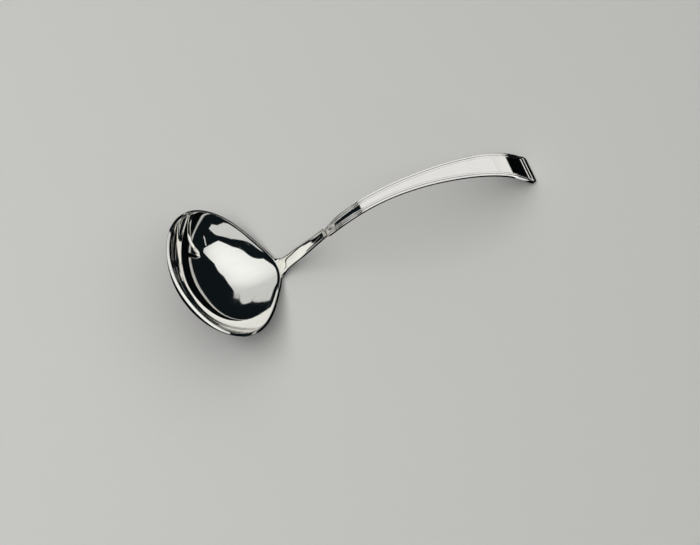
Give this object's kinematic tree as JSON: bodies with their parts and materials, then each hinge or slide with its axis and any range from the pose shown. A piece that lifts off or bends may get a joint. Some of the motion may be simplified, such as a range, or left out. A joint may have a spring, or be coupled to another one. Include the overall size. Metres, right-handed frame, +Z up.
{
  "type": "sauce ladle",
  "caption": "Small polished silver ladle: round shallow bowl with a plain lip, upright neck, and a long arched strip handle that widens to a square end with a threaded border.",
  "frame": {"origin": "on the table surface, below the middle of the ladle's bounding box", "axes": "+X along the handle away from the bowl, +Y across the ladle, +Z up off the table; XZ is the plane of symmetry"},
  "size_m": [0.1792, 0.0674, 0.0433],
  "materials": {
    "bowl": "mirror-polished silver",
    "neck": "mirror-polished silver",
    "handle": "mirror-polished silver, struck thread border"
  },
  "bodies": {
    "root": {"bowl": "bowl", "neck": "neck", "handle": "handle"}
  },
  "joints": []
}
